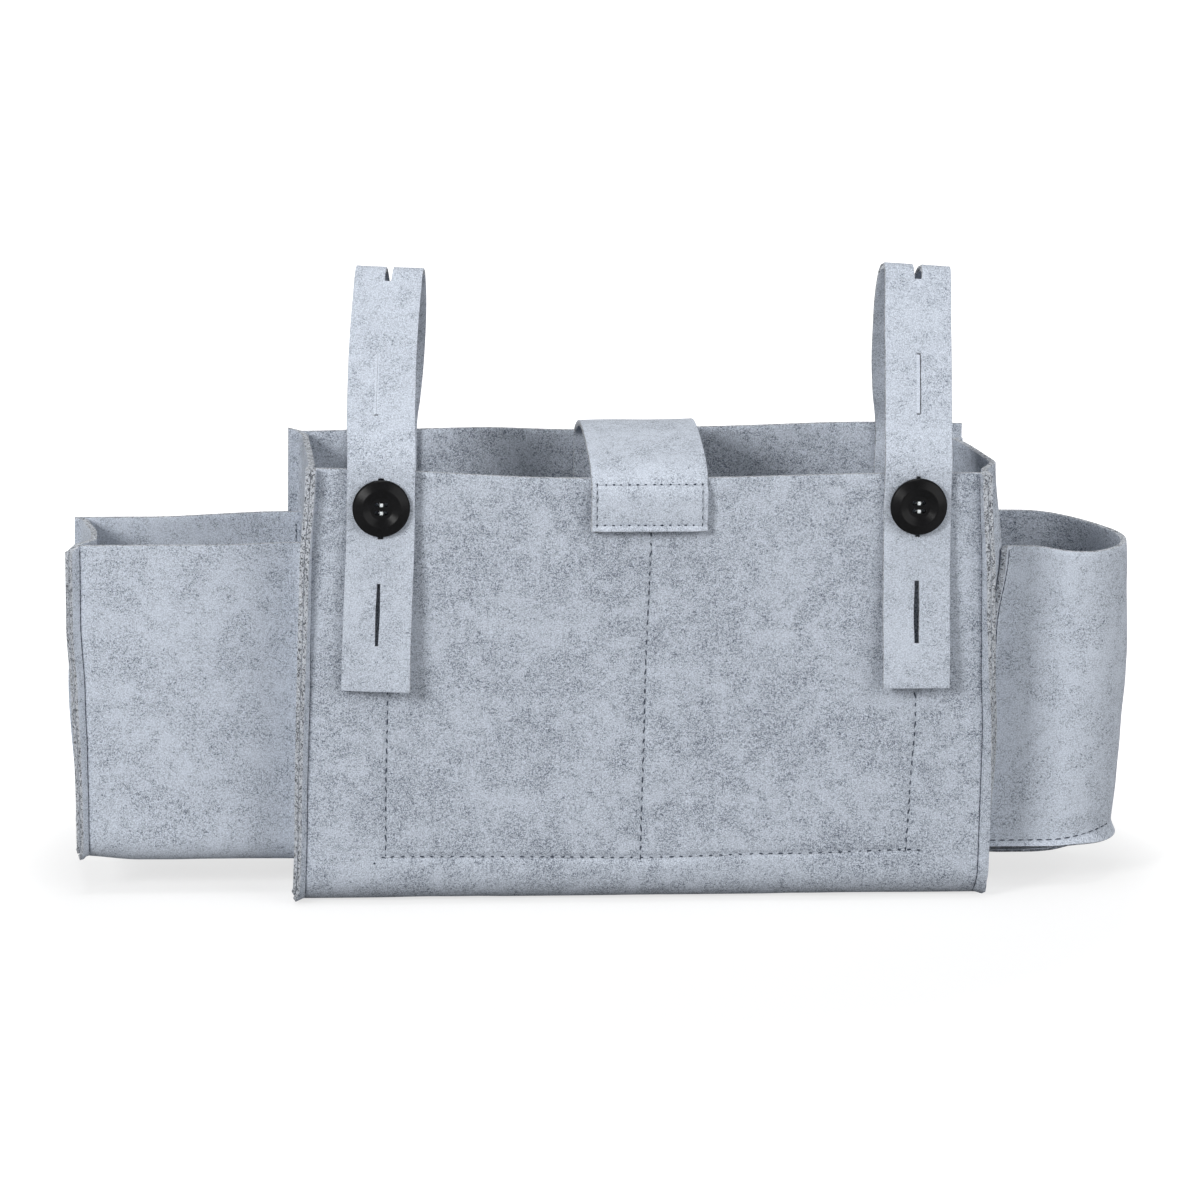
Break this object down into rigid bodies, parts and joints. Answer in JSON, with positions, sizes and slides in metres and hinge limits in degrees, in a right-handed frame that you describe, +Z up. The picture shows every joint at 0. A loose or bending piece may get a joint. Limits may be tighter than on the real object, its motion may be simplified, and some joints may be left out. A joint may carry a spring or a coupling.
{
  "type": "bedside caddy",
  "caption": "Felt caddy with an open main compartment, a box pocket and a bottle pocket at its ends, a closing tab, and buttoned straps that hang it on a bed rail.",
  "frame": {"origin": "middle of the main compartment's underside", "axes": "+X along the caddy to the bottle pocket, +Y from the front to the back, +Z up"},
  "size_m": [0.5351, 0.1093, 0.31],
  "materials": {
    "felt": "pressed melange felt, light bluish grey, matt",
    "button": "black, satin, finely turned",
    "thread": "light grey sewing thread",
    "patch": "grey hook and loop tape"
  },
  "bodies": {
    "caddy": {"body_wrap": "felt", "body_gusset_left": "felt", "body_gusset_right": "felt", "inner_pocket": "felt", "left_pocket_wrap": "felt", "left_pocket_gusset": "felt", "cup_pocket_wall": "felt", "cup_pocket_base": "felt", "strap_left_rear": "felt", "strap_right_rear": "felt", "tab_root": "felt", "front_loop_patch": "patch", "button_left": "button", "button_right": "button", "button_left_thread": "thread", "button_right_thread": "thread"},
    "strap_left": {"strap_left_front": "felt"},
    "strap_right": {"strap_right_front": "felt"},
    "tab": {"tab_flap": "felt", "tab_hook_patch": "patch"}
  },
  "joints": [
    {"name": "strap_left_open", "type": "hinge", "parent": "caddy", "child": "strap_left", "pos_m": [-0.1245, 0, 0.31], "axis": [-1, 0, 0], "range_deg": [0, 125]},
    {"name": "strap_right_open", "type": "hinge", "parent": "caddy", "child": "strap_right", "pos_m": [0.136, 0, 0.31], "axis": [-1, 0, 0], "range_deg": [0, 125]},
    {"name": "tab_lift", "type": "hinge", "parent": "caddy", "child": "tab", "pos_m": [0, 0.0467, 0.222], "axis": [-1, 0, 0], "range_deg": [0, 140]}
  ]
}
